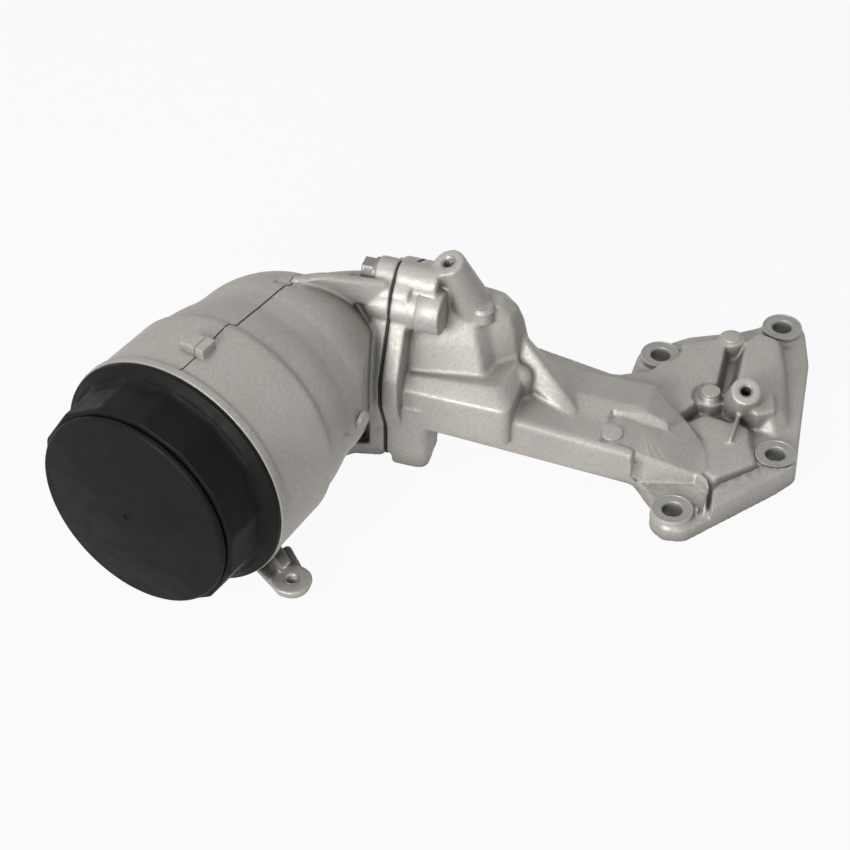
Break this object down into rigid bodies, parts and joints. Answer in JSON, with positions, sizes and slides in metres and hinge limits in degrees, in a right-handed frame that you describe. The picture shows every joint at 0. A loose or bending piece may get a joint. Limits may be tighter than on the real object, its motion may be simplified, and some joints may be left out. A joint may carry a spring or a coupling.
{
  "type": "oil filter housing",
  "caption": "Two-piece cast oil filter housing: screw-capped filter bowl, elbow joint, hooded duct arm and bolted mounting plate.",
  "frame": {"origin": "on the machined face that bolts to the engine block, in the middle of its four bolt holes", "axes": "+Z out of the engine block, +X square to the joint between the two castings and towards the mounting plate; the bowl axis is level and turned 75 degrees from +X"},
  "size_m": [0.3505, 0.334, 0.1346],
  "materials": {
    "cast_aluminium": "as cast, shot blasted",
    "machined_aluminium": "machined",
    "black_plastic": "moulded, satin",
    "gasket_fibre": "pressed fibre",
    "zinc_steel": "zinc plated",
    "spring_steel": "drawn wire",
    "black_rubber": "moulded",
    "filter_paper": "resin treated paper",
    "element_plastic": "moulded"
  },
  "bodies": {
    "housing": {"bowl_casting": "cast_aluminium", "bracket_casting": "cast_aluminium", "joint_gasket": "gasket_fibre", "joint_bolts": "zinc_steel", "locating_dowels": "zinc_steel", "standpipe": "machined_aluminium", "bypass_seat": "machined_aluminium", "bypass_retainer": "machined_aluminium", "bypass_spring": "spring_steel", "return_cage": "element_plastic", "return_spring": "spring_steel", "port_seals": "black_rubber"},
    "cartridge": {"element_top_disc": "element_plastic", "element_bottom_disc": "element_plastic", "element_grommets": "black_rubber", "pleated_media": "filter_paper", "centre_tube": "element_plastic", "drain_seal": "black_rubber"},
    "seal_ring": {"cap_seal": "black_rubber"},
    "cap": {"screw_cap": "black_plastic"},
    "bypass_valve": {"bypass_poppet": "element_plastic"},
    "return_valve": {"return_disc": "element_plastic"}
  },
  "joints": [
    {"name": "cartridge_draw", "type": "slide", "parent": "housing", "child": "cartridge", "axis": [-0.2588, -0.9659, 0], "range_m": [0, 0.135]},
    {"name": "cap_travel", "type": "slide", "parent": "cartridge", "child": "seal_ring", "axis": [-0.2588, -0.9659, 0], "range_m": [0, 0.0264]},
    {"name": "cap_turn", "type": "hinge", "parent": "seal_ring", "child": "cap", "pos_m": [-0.2394, -0.1956, 0.066], "axis": [-0.2588, -0.9659, 0], "range_deg": [0, 1584]},
    {"name": "bypass_lift", "type": "slide", "parent": "housing", "child": "bypass_valve", "axis": [0.2588, 0.9659, 0], "range_m": [0, 0.005], "stiffness_N_per_m": 2500, "springref_m": -0.004, "deforming": ["bypass_spring"]},
    {"name": "return_lift", "type": "slide", "parent": "housing", "child": "return_valve", "axis": [0, 0, 1], "range_m": [0, 0.004], "stiffness_N_per_m": 300, "springref_m": -0.002, "deforming": ["return_spring"]}
  ],
  "couplings": [
    {"joint": "cap_turn", "follows": "cap_travel", "rad_per_m": 1047.2}
  ]
}
